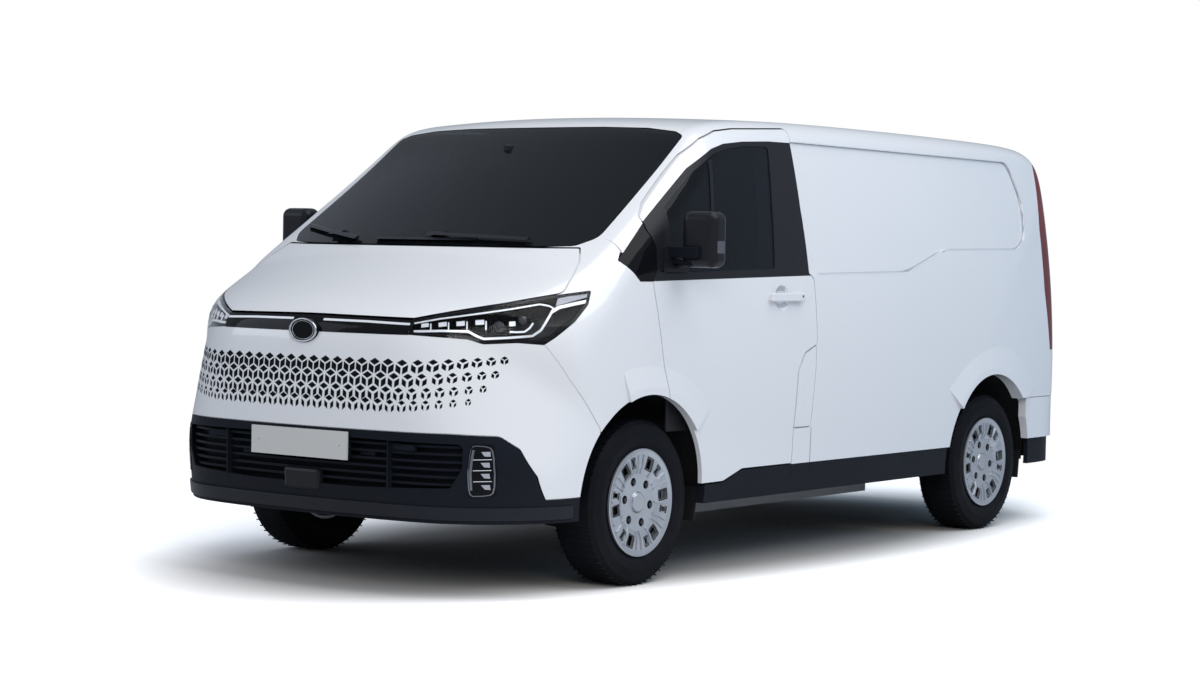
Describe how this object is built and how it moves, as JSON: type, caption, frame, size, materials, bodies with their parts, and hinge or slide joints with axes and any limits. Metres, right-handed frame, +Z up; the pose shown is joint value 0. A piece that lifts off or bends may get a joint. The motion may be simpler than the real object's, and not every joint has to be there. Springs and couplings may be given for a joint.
{
  "type": "panel van",
  "caption": "Mid-size white panel van with hinged cab doors, hood, twin rear doors, lid behind the cab door, steered front wheels, cab interior and an empty load space.",
  "frame": {"origin": "on the ground under the middle of the van's box", "axes": "+Y towards the rear, +X towards the vehicle's left side, +Z up"},
  "size_m": [2.43, 4.998, 1.9894],
  "materials": {
    "paint_white": "gloss white paint",
    "tinted_glass": "dark tinted glass",
    "clear_lens": "clear moulded lens",
    "lamp_black": "dark lamp housing",
    "lamp_chrome": "bright lamp frame",
    "gloss_black": "piano black",
    "trim_black": "satin black",
    "matte_black": "grained dark plastic",
    "liner_black": "matt liner",
    "lamp_red": "dark red lamp lens",
    "floor_grey": "dark primer",
    "panel_grey": "dark panel",
    "dash_black": "soft grained plastic",
    "seat_fabric": "dark woven fabric",
    "battery_metal": "cast and pressed casing",
    "chassis_metal": "black coated steel",
    "plate_blank": "blank grey plate",
    "tyre": "black rubber",
    "wheel_silver": "silver wheel cover"
  },
  "bodies": {
    "van_body": {"front_fascia": "paint_white", "fenders": "paint_white", "roof": "paint_white", "body_side_left": "paint_white", "body_side_right": "paint_white", "sliding_door": "paint_white", "rear_bumper": "paint_white", "windscreen": "tinted_glass", "headlamp_lenses": "clear_lens", "headlamp_housings": "lamp_black", "corner_lamps": "lamp_chrome", "gloss_trim": "gloss_black", "front_bumper": "matte_black", "grille": "matte_black", "lower_cladding": "matte_black", "wheel_liners": "liner_black", "tail_lamps": "lamp_red", "floor": "floor_grey", "bulkhead": "panel_grey", "dashboard": "dash_black", "seats": "seat_fabric", "power_unit": "battery_metal", "running_gear": "chassis_metal", "plates": "plate_blank", "cowl_wipers": "trim_black"},
    "hood": {"hood": "paint_white"},
    "door_left": {"door_left": "paint_white", "door_trim_left": "trim_black", "door_glass_left": "tinted_glass"},
    "door_right": {"door_right": "paint_white", "door_trim_right": "trim_black", "door_glass_right": "tinted_glass"},
    "rear_door_left": {"rear_door_left": "paint_white"},
    "rear_door_right": {"rear_door_right": "paint_white"},
    "flap": {"flap": "paint_white"},
    "knuckle_left": {"knuckle_left": "chassis_metal"},
    "knuckle_right": {"knuckle_right": "chassis_metal"},
    "wheel_front_left": {"tyre_front_left": "tyre", "wheel_front_left": "wheel_silver"},
    "wheel_front_right": {"tyre_front_right": "tyre", "wheel_front_right": "wheel_silver"},
    "wheel_rear_left": {"tyre_rear_left": "tyre", "wheel_rear_left": "wheel_silver"},
    "wheel_rear_right": {"tyre_rear_right": "tyre", "wheel_rear_right": "wheel_silver"}
  },
  "joints": [
    {"name": "hood_hinge", "type": "hinge", "parent": "van_body", "child": "hood", "pos_m": [0, -1.714, 1.437], "axis": [-1, 0, 0], "range_deg": [0, 50]},
    {"name": "door_left_hinge", "type": "hinge", "parent": "van_body", "child": "door_left", "pos_m": [1.01, -1.489, 0.9], "axis": [0, 0, -1], "range_deg": [0, 70]},
    {"name": "door_right_hinge", "type": "hinge", "parent": "van_body", "child": "door_right", "pos_m": [-1.01, -1.489, 0.9], "axis": [0, 0, 1], "range_deg": [0, 70]},
    {"name": "rear_door_left_hinge", "type": "hinge", "parent": "van_body", "child": "rear_door_left", "pos_m": [0.788, 2.344, 0.8], "axis": [0, 0.0915, -0.9958], "range_deg": [0, 170]},
    {"name": "rear_door_right_hinge", "type": "hinge", "parent": "van_body", "child": "rear_door_right", "pos_m": [-0.788, 2.344, 0.8], "axis": [0, -0.0915, 0.9958], "range_deg": [0, 170]},
    {"name": "flap_hinge", "type": "hinge", "parent": "van_body", "child": "flap", "pos_m": [1.018, -0.215, 0.75], "axis": [0, 0, 1], "range_deg": [0, 85]},
    {"name": "steer_left", "type": "hinge", "parent": "van_body", "child": "knuckle_left", "pos_m": [0.775, -1.479, 0.2], "axis": [-0.1803, 0, 0.9836], "range_deg": [-33, 33]},
    {"name": "steer_right", "type": "hinge", "parent": "van_body", "child": "knuckle_right", "pos_m": [-0.775, -1.479, 0.2], "axis": [0.1803, 0, 0.9836], "range_deg": [-33, 33]},
    {"name": "spin_front_left", "type": "hinge", "parent": "knuckle_left", "child": "wheel_front_left", "pos_m": [0.8585, -1.479, 0.343], "axis": [1, 0, 0], "continuous": true},
    {"name": "spin_rear_left", "type": "hinge", "parent": "van_body", "child": "wheel_rear_left", "pos_m": [0.8585, 1.521, 0.343], "axis": [1, 0, 0], "continuous": true},
    {"name": "spin_front_right", "type": "hinge", "parent": "knuckle_right", "child": "wheel_front_right", "pos_m": [-0.8585, -1.479, 0.343], "axis": [1, 0, 0], "continuous": true},
    {"name": "spin_rear_right", "type": "hinge", "parent": "van_body", "child": "wheel_rear_right", "pos_m": [-0.8585, 1.521, 0.343], "axis": [1, 0, 0], "continuous": true}
  ],
  "couplings": [
    {"joint": "steer_right", "follows": "steer_left", "ratio": 1}
  ]
}
